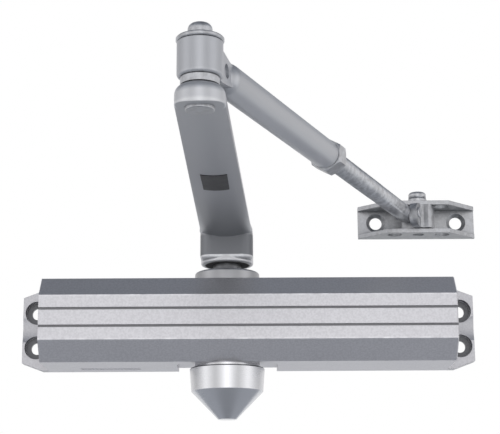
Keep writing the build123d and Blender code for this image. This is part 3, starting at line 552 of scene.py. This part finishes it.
shrink = 1.0 - cut * fade * depth / radius
moved = thread.node("ShaderNodeCombineXYZ", None, {"X": x * shrink, "Y": y * shrink, "Z": z})
bar = thread.node("GeometryNodeSetPosition", None, {"Geometry": bar, "Position": moved})
bar = thread.node("GeometryNodeSetShadeSmooth", None, {"Geometry": bar})
thread.close(bar)
print("thread tree nodes", len(thread.tree.nodes))

# %% [markdown]
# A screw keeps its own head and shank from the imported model. The plain bar from its tip up to a
# plane is cut away, the open end is capped, and the threaded bar takes its place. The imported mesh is
# loose triangles, so a copy of it is merged before it is cut.

# %% Cut a plain bar off a node and thread it
MERGE_REACH = 0.005 * MM
SHARP_ANGLE = math.radians(35)


def threaded(name, node, body, tip, along, length, sizes):
    """A copy of a node whose bar, from its tip along a direction, carries a real thread."""
    radius, depth, pitch = (size * MM for size in sizes)
    source = nodes[node].data
    finish = source.materials[0]
    kept = bmesh.new()
    kept.from_mesh(source)
    bmesh.ops.remove_doubles(kept, verts=kept.verts, dist=MERGE_REACH)
    everything = kept.verts[:] + kept.edges[:] + kept.faces[:]
    plane = {"plane_co": tip + along * length, "plane_no": along}
    opened = bmesh.ops.bisect_plane(kept, geom=everything, clear_inner=True, **plane)
    rim = [item for item in opened["geom_cut"] if isinstance(item, bmesh.types.BMEdge)]
    bmesh.ops.triangle_fill(kept, edges=rim, use_beauty=True)
    bmesh.ops.recalc_face_normals(kept, faces=kept.faces)
    bar = thread.run(name, Radius=radius, Depth=depth, Pitch=pitch, Length=length, Material=finish)
    turned_to = Vector((0, 0, 1)).rotation_difference(along).to_matrix().to_4x4()
    bar.transform(Matrix.Translation(tip) @ turned_to)
    kept.from_mesh(bar)
    mesh = bpy.data.meshes.new(name)
    kept.to_mesh(mesh)
    kept.free()
    mesh.materials.append(finish)
    mesh.set_sharp_from_angle(angle=SHARP_ANGLE)
    piece = bpy.data.objects.new(name, mesh)
    scene.collection.objects.link(piece)
    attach(piece, body)
    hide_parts(node)
    print(name, len(mesh.polygons), "faces")


# %% [markdown]
# ## The rod
#
# The rod slants through space, so its axis isn't one of the drawing's three. The joint that sets the
# forearm's length slides along it, which gives the direction, and the nut's joint lies on it, which
# gives a point. The rod's inner tip is its lowest corner along that line. The thread runs past the
# nut to where the rod is flattened.

# %% The threaded rod
ROD_THREAD = (4.75, 0.5, 1.25)
THREAD_PAST_NUT = 68.0 * MM
joints = {joint["name"]: joint for joint in frame["joints"]}
along_rod = Vector(joints["length_adjust"]["axis"]).normalized()
nut_place = Vector(joints["lock_nut_turn"]["pos_m"])
rod_tip = min((vertex.co - nut_place).dot(along_rod) for vertex in nodes["adjusting_rod"].data.vertices)
rod_start = nut_place + along_rod * rod_tip
rod_length = THREAD_PAST_NUT - rod_tip
threaded("threaded_rod", "adjusting_rod", "rod", rod_start, along_rod, rod_length, ROD_THREAD)

# %% [markdown]
# ## The screws
#
# Three more pieces are threaded: the screw that holds the arm, the long screw that sets the spring's
# power, and the shoe's pivot. Each points along an axis of the drawing, so its tip is the middle of
# one side of its box.

# %% The screws with a threaded end
SCREWS = (
    ("arm_screw", "arm", 2, 9.0, (2.95, 0.4, 1.0)),
    ("power_screw", "power_adjuster", 0, 36.0, (4.0, 0.5, 1.25)),
    ("shoe_pivot_screw", "shoe", 2, 3.0, (3.0, 0.35, 1.0)),
)
for screw, body, axis, screw_length, screw_thread in SCREWS:
    screw_low, screw_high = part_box(screw)
    tip = (screw_low + screw_high) / 2
    tip[axis] = screw_low[axis]
    along = Vector((0, 0, 0))
    along[axis] = 1
    threaded(f"{screw}_threaded", screw, body, tip, along, screw_length * MM, screw_thread)

# %% [markdown]
# ## The floor
#
# A plain pale sheet lies well below the closer, where the bevels and the cone's tip mirror it. It is
# darker just below the closer, in the closer's own shade. What the camera sees of it is lit up more
# than what the metal mirrors, so that it stays pale behind the closer too.

# %% Floor
FLOOR_DROP = 0.75
FLOOR_HALF = 1.2
SHADE_PLACE = (SPINDLE.x, 0.05)
SHADE_INNER = 0.10
SHADE_OUTER = 0.42
floor_mesh = bpy.data.meshes.new("floor")
corners = [(-1, -1), (1, -1), (1, 1), (-1, 1)]
corners = [(x * FLOOR_HALF, y * FLOOR_HALF, -FLOOR_DROP) for x, y in corners]
floor_mesh.from_pydata(corners, [], [(0, 1, 2, 3)])
floor = bpy.data.objects.new("floor", floor_mesh)
scene.collection.objects.link(floor)
paper = Finish("floor_paper")
x, y, z = paper.axes()
open_floor = paper.step(paper.distance(x - SHADE_PLACE[0], y - SHADE_PLACE[1]), SHADE_INNER, SHADE_OUTER)
tone = paper.blend(0.9 * open_floor + 0.1 * paper.grain(3.0), grey(0.50, 0.03), grey(0.93, 0.02))
fibre = paper.relief(paper.grain(300.0), 0.2 * MM, 0.2)
glow = paper.blend(paper.node("ShaderNodeLightPath"), grey(0.0), grey(0.50, 0.01))
dry = 0.8 + 0.1 * paper.grain(5.0)
floor_mesh.materials.append(paper.shader(tone, 0.0, dry, fibre, Emission_Color=glow, Emission_Strength=1.0))
print("floor", 2 * FLOOR_HALF, "m wide,", FLOOR_DROP, "m below")

# %% [markdown]
# ## The light
#
# Metal shows what stands around it. The photograph has a bright front, a bright background, and
# little light from straight above or below, which is why the bevels read darker than the faces beside
# them. Lamps would give hard spots on the turned caps. A surround whose brightness follows two ramps,
# one from floor to ceiling and one round the room, gives the soft bands of a light tent, and each
# band can be moved by one number. The camera itself sees a white background.

# %% The tent's bands
BY_HEIGHT = [
    (0.0, grey(0.20, 0.08)),
    (0.05, grey(0.42, 0.06)),
    (0.16, grey(0.72, 0.04)),
    (0.26, grey(0.95, 0.02)),
    (0.40, grey(0.92, 0.01)),
    (0.48, grey(0.95, 0.0, 0.01)),
    (0.64, grey(0.95, 0.0, 0.01)),
    (0.76, grey(0.50, 0.06)),
    (0.90, grey(0.22, 0.13)),
    (1.0, grey(0.19, 0.13)),
]
BY_TURN = [
    (0.0, 0.74),
    (0.12, 0.62),
    (0.18, 0.45),
    (0.25, 0.65),
    (0.305, 0.98),
    (0.40, 0.50),
    (0.45, 0.80),
    (0.50, 1.35),
    (0.55, 0.80),
    (0.595, 0.50),
    (0.69, 1.02),
    (0.76, 0.70),
    (0.83, 0.50),
    (0.88, 0.66),
    (1.0, 0.74),
]
print("bands from floor to ceiling", len(BY_HEIGHT), "and round the room", len(BY_TURN))

# %% The tent
LIGHT = 1.35
world = bpy.data.worlds.new("surround")
scene.world = world
sky = Graph(world, "Generated")
east, north, rise = sky.axes()
turn = east.sum("ARCTAN2", east, 0.0 - north)
height_tone = sky.ramp(rise * 0.5 + 0.5, BY_HEIGHT)
turn_tone = sky.ramp(turn / math.tau + 0.5, [(place, grey(level)) for place, level in BY_TURN])
around = sky.node("ShaderNodeBackground", None, {"Color": height_tone, "Strength": turn_tone * LIGHT})
behind = sky.node("ShaderNodeBackground", None, {"Color": grey(1.0), "Strength": 1.0})
to_camera = sky.node("ShaderNodeLightPath")
either = sky.node("ShaderNodeMixShader", None, {0: to_camera, 1: around, 2: behind})
sky.node("ShaderNodeOutputWorld", None, {"Surface": either})
scene.view_settings.view_transform = "Standard"
print("world nodes", len(sky.tree.nodes))
